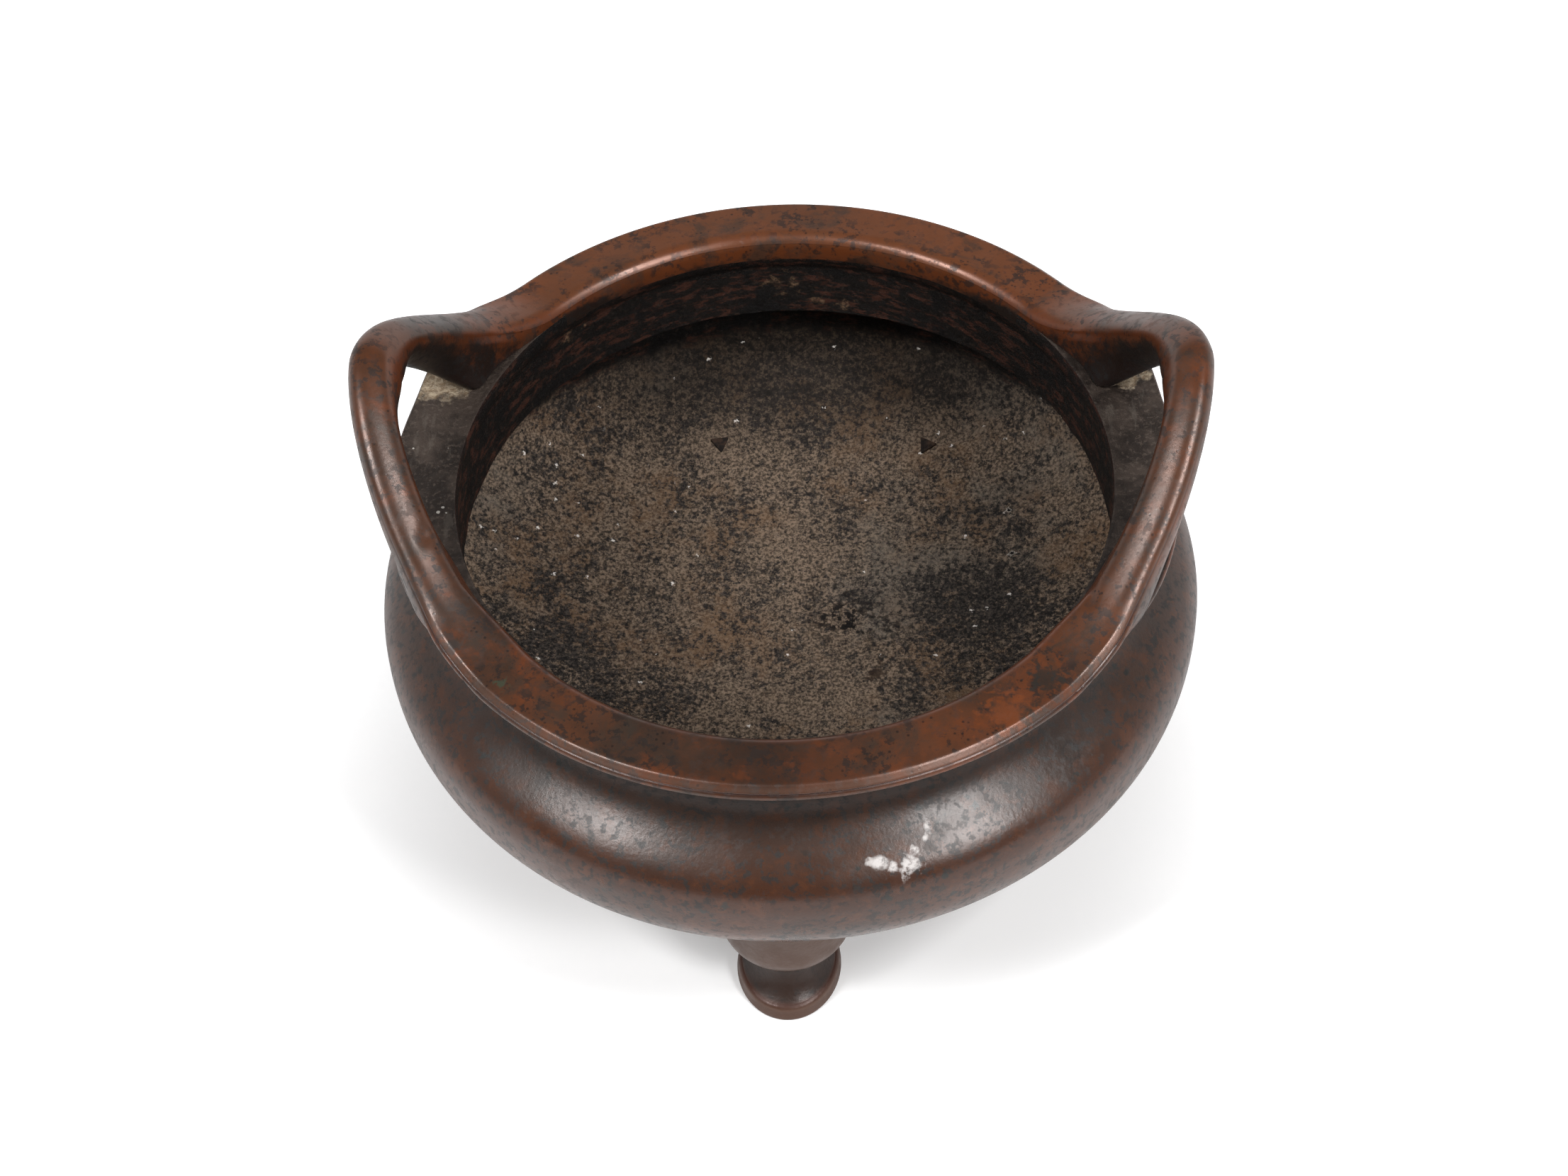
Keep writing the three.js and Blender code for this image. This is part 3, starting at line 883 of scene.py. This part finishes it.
class Nodes:
    """A short way to write the nodes of a material or of the world."""

    def __init__(self, owner, output, place):
        owner.use_nodes = True
        self.owner = owner
        self.tree = owner.node_tree
        self.tree.nodes.clear()
        self.output = self.tree.nodes.new(output)
        self.place = self.tree.nodes.new("ShaderNodeTexCoord").outputs[place]

    def add(self, kind, inputs, **settings):
        """A node with its settings, and a value or a link for each input that is named."""
        node = self.tree.nodes.new(kind)
        for setting, value in settings.items():
            setattr(node, setting, value)
        for key, value in inputs.items():
            socket = node.inputs[key]
            if isinstance(value, bpy.types.NodeSocket):
                self.tree.links.new(value, socket)
            elif socket.type == "RGBA":
                socket.default_value = (*value, 1)
            else:
                socket.default_value = value
        return node.outputs

    def noise(self, scale, detail=4, rough=0.55, distortion=0, offset=None, place=None):
        where = self.place if place is None else place
        if offset is not None:
            where = self.add("ShaderNodeVectorMath", {0: where, 1: offset}, operation="ADD")[0]
        settings = {"Scale": scale, "Detail": detail, "Roughness": rough, "Distortion": distortion}
        return self.add("ShaderNodeTexNoise", {"Vector": where, **settings})["Fac"]

    def stretched(self, scale):
        return self.add("ShaderNodeMapping", {"Vector": self.place, "Scale": scale})["Vector"]

    def cells(self, scale):
        return self.add("ShaderNodeTexVoronoi", {"Vector": self.place, "Scale": scale})

    def mark(self, name):
        return self.add("ShaderNodeAttribute", {}, attribute_name=name)["Fac"]

    def axis(self, name):
        return self.add("ShaderNodeSeparateXYZ", {0: self.place})[name]

    def ramp(self, value, low, high, start=0.0, end=1.0):
        """Goes smoothly from start to end while the value goes from low to high."""
        ends = {"From Min": low, "From Max": high, "To Min": start, "To Max": end}
        inputs = {"Value": value, **ends}
        return self.add("ShaderNodeMapRange", inputs, interpolation_type="SMOOTHSTEP")["Result"]

    def patches(self, noise, limits, strengths=(0.0, 1.0), offset=None, place=None):
        """A mask from noise: its settings, where it sets in and is full, and how strong it gets."""
        return self.ramp(self.noise(*noise, offset=offset, place=place), *limits, *strengths)

    def math(self, operation, a, b):
        return self.add("ShaderNodeMath", {0: a, 1: b}, operation=operation)[0]

    def times(self, a, b):
        return self.math("MULTIPLY", a, b)

    def larger(self, a, b):
        return self.math("MAXIMUM", a, b)

    def total(self, first, *weighted):
        """The first value plus each other value times its weight."""
        for value, weight in weighted:
            first = self.math("ADD", first, self.times(value, weight))
        return first

    def mix(self, share, a, b):
        return self.add("ShaderNodeMix", {0: share, 6: a, 7: b}, data_type="RGBA")[2]

    def coat(self, color, share, red, green, blue):
        """The colour under a coat of a screen tone, as dense as the share says."""
        return self.mix(share, color, tone(red, green, blue))

    def spot(self, centre, radius, soft=0.5, ragged=0.5, scale=900):
        """A mask that is 1 round a point in millimetres and falls off raggedly."""
        inputs = {0: self.place, 1: [c * MM for c in centre]}
        away = self.add("ShaderNodeVectorMath", inputs, operation="DISTANCE")["Value"]
        uneven = self.patches((scale, 3), (0.3, 0.7), (1 - ragged, 1 + ragged))
        return self.ramp(self.times(away, uneven), radius * MM * (1 - soft), radius * MM, 1.0, 0.0)

    def spots(self, places, *settings):
        """One mask for several spots, each a centre and a radius."""
        mask = self.spot(*places[0], *settings)
        for centre, radius in places[1:]:
            mask = self.larger(mask, self.spot(centre, radius, *settings))
        return mask

    def fine_grain(self):
        """The height of a finely cast surface."""
        return self.total(self.times(self.noise(1500), 0.6), (self.noise(520), 0.4))

    def bump(self, height, strength, distance):
        inputs = {"Height": height, "Strength": strength, "Distance": distance}
        return self.add("ShaderNodeBump", inputs)["Normal"]

    def seen_and_mirrored(self):
        """Whether a ray comes from the camera, and whether metal or glass sends it on."""
        path = self.add("ShaderNodeLightPath", {})
        mirrored = self.larger(path["Is Glossy Ray"], path["Is Transmission Ray"])
        return path["Is Camera Ray"], mirrored

    def shader(self, color, metallic, rough, specular, **bumped):
        """The surface's shader. The normal can be left out."""
        inputs = {"Base Color": color, "Metallic": metallic, "Roughness": rough, **bumped}
        inputs["Specular IOR Level"] = specular
        return self.add("ShaderNodeBsdfPrincipled", inputs)[0]

    def finish(self, surface):
        self.tree.links.new(surface, self.output.inputs["Surface"])
        return self.owner


def new_material(name):
    return Nodes(bpy.data.materials.new(name), "ShaderNodeOutputMaterial", "Object")


def crown_material():
    """Ring and handles: warm reddish bronze, dark mottles, grey-olive patches, lighter edges that
    are partly wear and partly a painted highlight, and painted light and shade.
    """
    n = new_material("crown_bronze")
    cloud = n.patches((42, 8, 0.66), (0.36, 0.64))
    color = n.mix(cloud, tone(60, 43, 33), tone(92, 54, 33))
    orange = n.patches((95, 8, 0.7, 0.3), (0.46, 0.66), (0, 0.8), (0.5, 0.2, 0.4))
    color = n.coat(color, orange, 110, 58, 30)
    # Painted: the back of the ring is coloured warmer and redder by its place alone, offsetting the
    # grey of the backdrop it mirrors.
    far = n.ramp(n.axis("Y"), 0.02, 0.048, 0, 0.6)
    color = n.coat(color, far, 124, 72, 42)
    roll = n.ramp(n.mark("deep"), 0.06, 0.34, 0, 0.6)
    color = n.coat(color, roll, 92, 42, 15)
    olive = n.patches((120, 8, 0.7, 0.6), (0.5, 0.64), (0, 0.6), (0.3, 0.1, 0))
    color = n.coat(color, olive, 56, 49, 42)
    mottle = n.patches((620, 6, 0.66), (0.51, 0.58), (0, 0.75), (0.7, 0, 0.2))
    gather = n.patches((130, 4, 0.6), (0.4, 0.58), (0.3, 1), (0.9, 0.7, 0))
    color = n.coat(color, n.times(mottle, gather), 30, 23, 20)
    pitted = n.patches((260, 2), (0.5, 0.6), offset=(0.1, 0.5, 0))
    specks = n.times(n.ramp(n.cells(900)["Distance"], 0.1, 0.28, 1, 0), pitted)
    color = n.coat(color, n.times(specks, 0.7), 22, 17, 16)
    rubs = (((34.6, -47.5, 66.8), 4.2), ((-4.5, -59.4, 66.7), 1.3), ((3.0, -57.5, 66.9), 0.9))
    color = n.coat(color, n.times(n.spots(rubs, 0.7, 0.6, 700), 0.65), 128, 66, 30)
    color = n.coat(color, n.times(n.spot((40.4, -40.8, 66.9), 3.0), 0.75), 42, 40, 36)
    color = n.coat(color, n.times(n.spot((-41.2, -42.2, 66.8), 1.0), 0.7), 62, 74, 58)
    # Painted shade: a dark patch at the front of the ring, where its top mirrors a dark part of the
    # room.
    front = n.spot((0.0, -57.0, 67.0), 15, 0.9, 0.4, 90)
    color = n.coat(color, n.times(front, 0.55), 40, 28, 22)
    rim = n.times(n.mark("rim"), n.patches((170, 6, 0.6), (0.38, 0.62), (0.05, 0.6)))
    color = n.coat(color, rim, 108, 54, 26)
    # A lighter line on the chamfer and the handles' edges: partly worn metal and partly a painted
    # highlight.
    color = n.coat(color, n.times(n.mark("edge"), 0.25), 112, 88, 76)
    color = n.coat(color, n.times(n.mark("groove"), 0.85), 46, 20, 13)
    # Darkening deep in the throat, on the handles' inner sides and near their roots: partly dark
    # patina and partly painted shade.
    uneven = n.patches((140, 8, 0.72), (0.25, 0.75), (-0.5, 0.5), (0.2, 0.6, 0))
    sunk_patina_and_shade = n.ramp(n.math("ADD", n.mark("deep"), uneven), 0.55, 1.1)
    color = n.coat(color, n.times(sunk_patina_and_shade, 0.93), 20, 14, 12)
    rough = n.patches((210, 5), (0.3, 0.7), (0.28, 0.37), (0, 0.4, 0.4))
    rough = n.total(rough, (mottle, 0.15), (sunk_patina_and_shade, 0.12))
    normal = n.bump(n.total(n.fine_grain(), (specks, -0.5)), 0.09, 0.0003)
    return n.finish(n.shader(color, 0.26, rough, 0.66, Normal=normal))


def body_material():
    """Outside of the bowl: dark brown-grey satin, with a little pale residue at the front, painted
    shade under the lip and painted reflections on the belly and the shoulder.
    """
    n = new_material("body_bronze")
    height = n.axis("Z")
    cloud = n.patches((30, 7, 0.66), (0.38, 0.64))
    color = n.mix(cloud, tone(54, 40, 32), tone(70, 45, 30))
    warm = n.patches((64, 6, 0.66), (0.4, 0.6), (0.15, 0.95), (0.2, 0.2, 0.6))
    belly = n.ramp(height, 0.028, 0.047, 1, 0.4)
    color = n.coat(color, n.times(warm, belly), 92, 50, 25)
    # Painted reflection: a dark, warm band round the belly, where the bronze mirrors dark
    # surroundings.
    painted_dark_band = n.times(n.ramp(height, 0.031, 0.038), n.ramp(height, 0.043, 0.049, 0.6, 0))
    color = n.coat(color, painted_dark_band, 60, 28, 10)
    # Painted reflection: the shoulder is coated grey, standing in for the light it mirrors from
    # above.
    shoulder = n.ramp(height, 0.044, 0.051, 0, 0.45)
    color = n.coat(color, shoulder, 56, 48, 44)
    low = n.ramp(height, 0.0235, 0.033, 0.5, 0)
    color = n.coat(color, low, 60, 34, 17)
    rust = n.patches((330, 8, 0.7), (0.5, 0.62), (0, 0.55), (0.1, 0.6, 0.3))
    color = n.coat(color, rust, 90, 50, 25)
    mottle = n.patches((720, 6, 0.66), (0.51, 0.59), (0, 0.8))
    gather = n.patches((110, 4, 0.6), (0.38, 0.52), (0.35, 1), (0.4, 0.7, 0))
    color = n.coat(color, n.times(mottle, gather), 27, 24, 22)
    dots = n.cells(400)
    wobble = n.times(dots["Distance"], n.patches((1300, 3), (0.3, 0.7), (0.6, 1.5)))
    some_dots = n.ramp(dots["Color"], 0.45, 0.55)
    verdigris = n.times(n.ramp(wobble, 0.14, 0.28, 0.85, 0), some_dots)
    strewn = n.patches((60, 4, 0.6), (0.38, 0.54), (0.25, 1), (0.6, 0.1, 0))
    color = n.coat(color, n.times(verdigris, strewn), 32, 35, 32)
    # Painted shade under the lip: the neck is coated nearly black there, and made rougher and less
    # shiny.
    painted_lip_shade = n.times(n.mark("neck"), n.patches((120, 5, 0.6), (0.3, 0.6), (0.85, 0.97)))
    color = n.coat(color, painted_lip_shade, 13, 11, 11)
    scar_centre = (44.6, -40.6, 48.4)
    scar = n.total(n.spot(scar_centre, 2.0, 0.3, 0.2), (n.spot(scar_centre, 1.4, 0.3, 0.2), -1))
    color = n.coat(color, n.times(scar, 0.5), 24, 20, 19)
    residue = (
        ((20.0, -60.3, 45.7), 1.7),
        ((17.6, -60.6, 46.0), 0.9),
        ((21.0, -58.4, 47.2), 0.9),
        ((22.7, -55.2, 49.0), 1.0),
        ((22.3, -56.8, 48.1), 0.6),
    )
    pale = n.spot((15.3, -60.5, 46.7), 1.9, 0.75, 0.45, 480)
    pale = n.larger(pale, n.spots(residue, 0.75, 0.5, 560))
    pale = n.times(pale, n.patches((900, 5, 0.7), (0.3, 0.56), offset=(0.5, 0, 0)))
    color = n.coat(color, pale, 205, 199, 196)
    rough = n.patches((160, 5), (0.3, 0.7), (0.26, 0.33), (0.5, 0.4, 0))
    rough = n.total(rough, (mottle, 0.12), (pale, 0.35), (painted_lip_shade, 0.12))
    under_shine = n.ramp(height, 0.026, 0.038, 0.5, 0)
    shine = n.total(0.78, (painted_lip_shade, -0.72), (under_shine, -1))
    normal = n.bump(n.fine_grain(), 0.15, 0.0003)
    return n.finish(n.shader(color, n.total(0.1, (pale, -0.1)), rough, shine, Normal=normal))


def ash_color(n, grain, flecks):
    """The bowl's floor: fine grey-brown crust, with painted shadow at the sides and the back."""
    cloud = n.noise(95, 12, 0.72, offset=(0.1, 0.3, 0))
    light = n.mix(n.ramp(grain, 0.4, 0.6), tone(68, 58, 49), tone(148, 127, 108))
    brown = n.patches((48, 8, 0.7), (0.48, 0.64), (0, 0.55), (0.8, 0.3, 0.1))
    light = n.coat(light, brown, 120, 90, 64)
    grey = n.patches((36, 6, 0.66), (0.52, 0.66), (0, 0.45), (0.2, 0.8, 0.1))
    light = n.coat(light, grey, 112, 106, 98)
    dark = n.mix(n.ramp(grain, 0.42, 0.6), tone(30, 27, 26), tone(82, 74, 68))
    # Painted shadow of the walls: darker patches at the left and right of the floor.
    shade = n.spots((((-36.0, -1.0, 23.5), 16), ((32.0, 8.0, 23.1), 21)), 0.9, 0.45, 120)
    # Painted shadow at the back of the floor, under the overhanging neck.
    far = n.ramp(n.axis("Y"), 0.038, 0.056)
    bright = n.spots((((-14.0, 43.9, 25.6), 6.0), ((21.9, 42.8, 26.2), 6.0)), 0.9, 0.4, 300)
    patchy = n.total(n.times(flecks, 0.7), (cloud, 0.3), (shade, 0.07), (far, 0.025))
    patchy = n.total(patchy, (bright, -0.09))
    color = n.mix(n.ramp(patchy, 0.49, 0.555), light, dark)
    black = n.patches((1300, 8, 0.74), (0.53, 0.57), (0, 0.9), (0.2, 0.9, 0))
    color = n.coat(color, n.times(black, n.ramp(patchy, 0.45, 0.56, 0.1, 1)), 20, 18, 17)
    color = n.coat(color, n.times(far, 0.72), 26, 20, 16)
    stain = n.spot((14.1, -3.9, 22.2), 2.0, 0.6, 0.6, 500)
    color = n.coat(color, n.times(stain, 0.8), 42, 27, 18)
    cluster = n.spot((9.5, 6.5, 22.1), 9.5, 0.9, 0.6, 250)
    dots = n.patches((560, 4, 0.6), (0.52, 0.535), offset=(0, 0.2, 0.9))
    color = n.coat(color, n.times(cluster, dots), 16, 10, 9)
    for centre, radius in (((36.0, 28.5, 25.6), 0.6), ((36.5, 19.7, 24.6), 0.5)):
        color = n.coat(color, n.spot(centre, radius, 0.4, 0.6, 1400), 190, 180, 168)
        color = n.coat(color, n.spot(centre, 0.7 * radius, 0.4, 0.6, 1400), 12, 10, 10)
    glitter = n.cells(330)
    more_left = n.ramp(n.axis("X"), -0.05, 0.0, 0.12, 0)
    shown = n.ramp(n.math("ADD", glitter["Color"], more_left), 0.7, 0.72)
    ragged = n.times(glitter["Distance"], n.patches((2400, 3), (0.35, 0.65), (0.5, 1.6)))
    sparkle = n.times(n.ramp(ragged, 0.06, 0.1, 1, 0), shown)
    return n.coat(color, sparkle, 235, 228, 220)


def soot_color(n):
    """The bowl's wall: black soot and red-brown streaks, with pale crusts at the back."""
    streak = n.patches((240, 9, 0.74), (0.5, 0.57), place=n.stretched((1, 1, 3.4)))
    color = n.mix(streak, tone(16, 12, 10), tone(66, 38, 28))
    color = n.coat(color, n.patches((110, 9, 0.72), (0.47, 0.58)), 10, 8, 8)
    crumbs = n.patches((900, 8, 0.74), (0.56, 0.64), (0, 0.5), (0.6, 0, 0.3))
    color = n.coat(color, crumbs, 62, 50, 42)
    crusts = (
        ((-0.2, 52.2, 56.6), 1.5),
        ((-37.3, 36.7, 59.4), 1.3),
        ((-34.4, 39.6, 59.9), 0.6),
        ((8.1, 51.3, 52.3), 1.5),
        ((-3.0, 52.0, 57.0), 1.8),
        ((3.4, 52.0, 53.0), 1.3),
    )
    broken = n.patches((1600, 4, 0.7), (0.45, 0.58), (0.1, 0.75))
    for centre, radius in crusts:
        crust = n.times(n.spot(centre, radius, 0.8, 0.6, 620), broken)
        color = n.coat(color, crust, 132, 104, 80)
    rim = n.times(n.mark("rim"), n.patches((200, 4), (0.35, 0.6), (0.3, 0.9)))
    return n.coat(color, rim, 74, 34, 19)


def hollow_material():
    """Inside of the bowl: dark crusted wall, and a floor of fine grey-brown ash crust."""
    n = new_material("hollow_crust")
    grain = n.noise(2000, 5, 0.7)
    flecks = n.noise(980, 10, 0.78, offset=(0.4, 0, 0))
    wavy_height = n.total(n.axis("Z"), (n.noise(95, 8, 0.7), 0.007))
    is_wall = n.ramp(wavy_height, 0.0385, 0.0412)
    color = n.mix(is_wall, ash_color(n, grain, flecks), soot_color(n))
    rough = n.total(n.ramp(grain, 0.3, 0.7, 0.6, 0.9), (is_wall, -0.2))
    normal = n.bump(n.total(n.times(grain, 0.4), (flecks, 0.6)), 0.8, 0.0009)
    return n.finish(n.shader(color, 0.0, rough, 0.25, Normal=normal))


def sill_material():
    """The level sill under a handle: dull grey-brown with dust, and dirt in the far corner."""
    n = new_material("sill_bronze")
    cloud = n.patches((160, 6, 0.66), (0.38, 0.62))
    color = n.mix(cloud, tone(42, 35, 31), tone(66, 55, 48))
    fine = n.patches((1400, 5, 0.66), (0.53, 0.64), (0, 0.6))
    color = n.coat(color, fine, 88, 77, 69)
    across = n.stretched((1, 0.2, 1))
    runs = n.patches((420, 5, 0.6), (0.58, 0.66), (0, 0.35), place=across)
    color = n.coat(color, runs, 100, 92, 84)
    dirty = (((-58.6, 21.6, 65.3), 3.2), ((54.6, 22.0, 65.3), 2.6), ((57.4, 22.4, 65.3), 1.6))
    dirt = n.spot((-55.3, 22.6, 65.3), 5.6, 0.6, 0.35, 420)
    dirt = n.larger(dirt, n.spots(dirty, 0.6, 0.45, 500))
    crumbs = n.patches((1300, 5, 0.7), (0.38, 0.62))
    dirt_color = n.mix(crumbs, tone(138, 116, 90), tone(192, 174, 148))
    color = n.mix(n.times(dirt, 0.8), color, dirt_color)
    grains = (
        ((-54.2, -6.4, 65.3), 0.34),
        ((-53.5, -5.4, 65.3), 0.3),
        ((-52.9, -6.6, 65.3), 0.2),
        ((-59.4, 7.1, 65.3), 0.22),
        ((-53.8, 7.1, 65.3), 0.16),
    )
    color = n.coat(color, n.times(n.spots(grains, 0.3, 0.3), 0.8), 190, 184, 176)
    rough = n.total(n.ramp(cloud, 0, 1, 0.42, 0.58), (dirt, 0.3))
    height = n.total(n.noise(1100, 4, 0.6), (dirt, crumbs))
    normal = n.bump(height, 0.5, 0.0005)
    return n.finish(n.shader(color, n.total(0.2, (dirt, -0.2)), rough, 0.5, Normal=normal))


def foot_material():
    """Feet: darker bronze, redder in the crease over the hoof's band, with painted light on the knee
    and the band.
    """
    n = new_material("foot_bronze")
    height = n.axis("Z")
    cloud = n.patches((60, 7, 0.66), (0.38, 0.62))
    color = n.mix(cloud, tone(34, 25, 21), tone(48, 31, 23))
    mottle = n.patches((520, 6, 0.66), (0.52, 0.66), (0, 0.65))
    color = n.coat(color, mottle, 26, 21, 19)
    # Painted light: the knee is coated lighter and warmer, where it catches the lamps.
    knee = n.ramp(height, 0.009, 0.014, 0, 0.75)
    color = n.coat(color, knee, 94, 68, 54)
    # Painted light: the band under the crease is coated lighter, where it mirrors the bright floor.
    band = n.ramp(height, 0.0022, 0.0034, 0.7, 0)
    color = n.coat(color, band, 88, 58, 42)
    # A light line on the band's rounded edge: partly wear and partly a painted highlight.
    color = n.coat(color, n.times(n.mark("edge"), 0.2), 110, 86, 74)
    color = n.coat(color, n.times(n.mark("groove"), 0.5), 70, 32, 18)
    rough = n.patches((260, 6, 0.7), (0.35, 0.65), (0.32, 0.5))
    normal = n.bump(n.fine_grain(), 0.25, 0.0003)
    return n.finish(n.shader(color, 0.16, rough, 0.5, Normal=normal))


def chaplet_material():
    """Chaplets: rusted dark metal, flush with the wall."""
    n = new_material("chaplet_metal")
    cloud = n.patches((700, 4, 0.65), (0.4, 0.62))
    color = n.mix(cloud, tone(30, 24, 21), tone(62, 46, 36))
    rough = n.patches((900, 3), (0.3, 0.7), (0.7, 0.9))
    normal = n.bump(n.noise(1400, 4, 0.7), 0.8, 0.0006)
    return n.finish(n.shader(color, 0.2, rough, 0.3, Normal=normal))


def floor_material():
    """Seamless white paper with a trace of tooth, which the camera sees near white, with a painted
    shadow round the object.
    """
    n = new_material("studio_paper")
    color = n.mix(n.patches((900, 3), (0.3, 0.7)), (0.88, 0.88, 0.88), (0.9, 0.9, 0.9))
    paper = n.shader(color, 0.0, 0.9, 0.1)
    # Painted shadow: the paper glows less round the object, so it looks darker there.
    near = n.spot((0, -14, 0), 118, 0.62, 0.02, 20)
    seen, mirrored = n.seen_and_mirrored()
    glow = n.total(n.times(seen, n.total(0.8, (near, -0.64))), (mirrored, 0.05))
    white = n.add("ShaderNodeEmission", {"Color": (1, 1, 1), "Strength": glow})[0]
    return n.finish(n.add("ShaderNodeAddShader", {0: paper, 1: white})[0])


crown = crown_material()
vessel_piece([body_material(), crown, hollow_material(), sill_material()])
handle_piece("handle_right", 1, crown)
handle_piece("handle_left", -1, crown)
foot = foot_material()
for index, foot_name in enumerate(("foot_front", "foot_rear_right", "foot_rear_left")):
    foot_piece(foot_name, -math.pi / 2 + index * TURN / 3, foot)
chaplet = chaplet_material()
for chaplet_name, chaplet_place in chaplet_places.items():
    chaplet_piece(chaplet_name, chaplet_place, chaplet)

# The studio, in metres and watts.
paper_half_width = 3.0
paper_steps = 60
lamp_target = Vector((0, 0, 0.05))
lamps = {
    "lamp_left": ((-0.69, -0.45, 1.01), (0.31, 0.47), 10.2),
    "lamp_right": ((0.71, -0.69, 0.85), (0.27, 0.27), 7.2),
    "lamp_high": ((0.6, -0.35, 1.02), (0.22, 0.22), 5.4),
}
room_light = 0.15
backdrop_light = 0.85
backdrop_color = (0.97, 0.98, 1.0)
camera_place = (0.0273882, -0.38588141, 0.49863565)
camera_turns = (40.046073, 2.082789, 1.723967)
camera_lens = 84.66
camera_sensor = 36
camera_range = (0.05, 20)


def studio_floor():
    """A large flat sheet of paper, finely divided."""
    line = np.linspace(-paper_half_width, paper_half_width, paper_steps + 1)
    points = [(x, y, 0.0) for y in line for x in line]
    faces = []
    for j in range(paper_steps):
        for i in range(paper_steps):
            a = j * (paper_steps + 1) + i
            faces.append((a, a + 1, a + paper_steps + 2, a + paper_steps + 1))
    mesh = bpy.data.meshes.new("studio_floor")
    mesh.from_pydata(points, [], faces)
    mesh.materials.append(floor_material())
    sheet = bpy.data.objects.new("studio_floor", mesh)
    bpy.context.collection.objects.link(sheet)


def soft_lamp(name, place, size, power):
    lamp = bpy.data.lights.new(name, "AREA")
    lamp.shape = "RECTANGLE"
    lamp.size, lamp.size_y = size
    lamp.energy = power
    holder = bpy.data.objects.new(name, lamp)
    holder.location = place
    holder.rotation_euler = (Vector(place) - lamp_target).to_track_quat("Z", "Y").to_euler()
    bpy.context.collection.objects.link(holder)


def studio_world():
    """White for the camera. Its light is a white backdrop low behind and a dim room elsewhere."""
    world = bpy.data.worlds.new("studio")
    bpy.context.scene.world = world
    n = Nodes(world, "ShaderNodeOutputWorld", "Generated")
    behind = n.ramp(n.axis("Y"), -0.5, 0.4)
    low_down = n.ramp(n.axis("Z"), 0.1, 0.56, 1.0, 0.0)
    backdrop = n.times(behind, low_down)
    strength = n.total(room_light, (backdrop, backdrop_light - room_light))
    seen, mirrored = n.seen_and_mirrored()
    shown = n.total(seen, (mirrored, n.math("POWER", backdrop, 4.0)))
    light = n.add("ShaderNodeBackground", {"Color": backdrop_color, "Strength": strength})[0]
    white = n.add("ShaderNodeBackground", {"Color": (1, 1, 1)})[0]
    n.finish(n.add("ShaderNodeMixShader", {0: shown, 1: light, 2: white})[0])


def photo_camera():
    camera = bpy.data.cameras.new("photo_camera")
    camera.sensor_width = camera_sensor
    camera.lens = camera_lens
    camera.clip_start, camera.clip_end = camera_range
    holder = bpy.data.objects.new("photo_camera", camera)
    turns = Euler([angle * DEGREE for angle in camera_turns])
    holder.matrix_world = Matrix.Translation(camera_place) @ turns.to_matrix().to_4x4()
    bpy.context.collection.objects.link(holder)
    bpy.context.scene.camera = holder


studio_floor()
for lamp_name, (lamp_place, lamp_size, lamp_power) in lamps.items():
    soft_lamp(lamp_name, lamp_place, lamp_size, lamp_power)
studio_world()
photo_camera()

bpy.context.scene.view_settings.view_transform = "Standard"
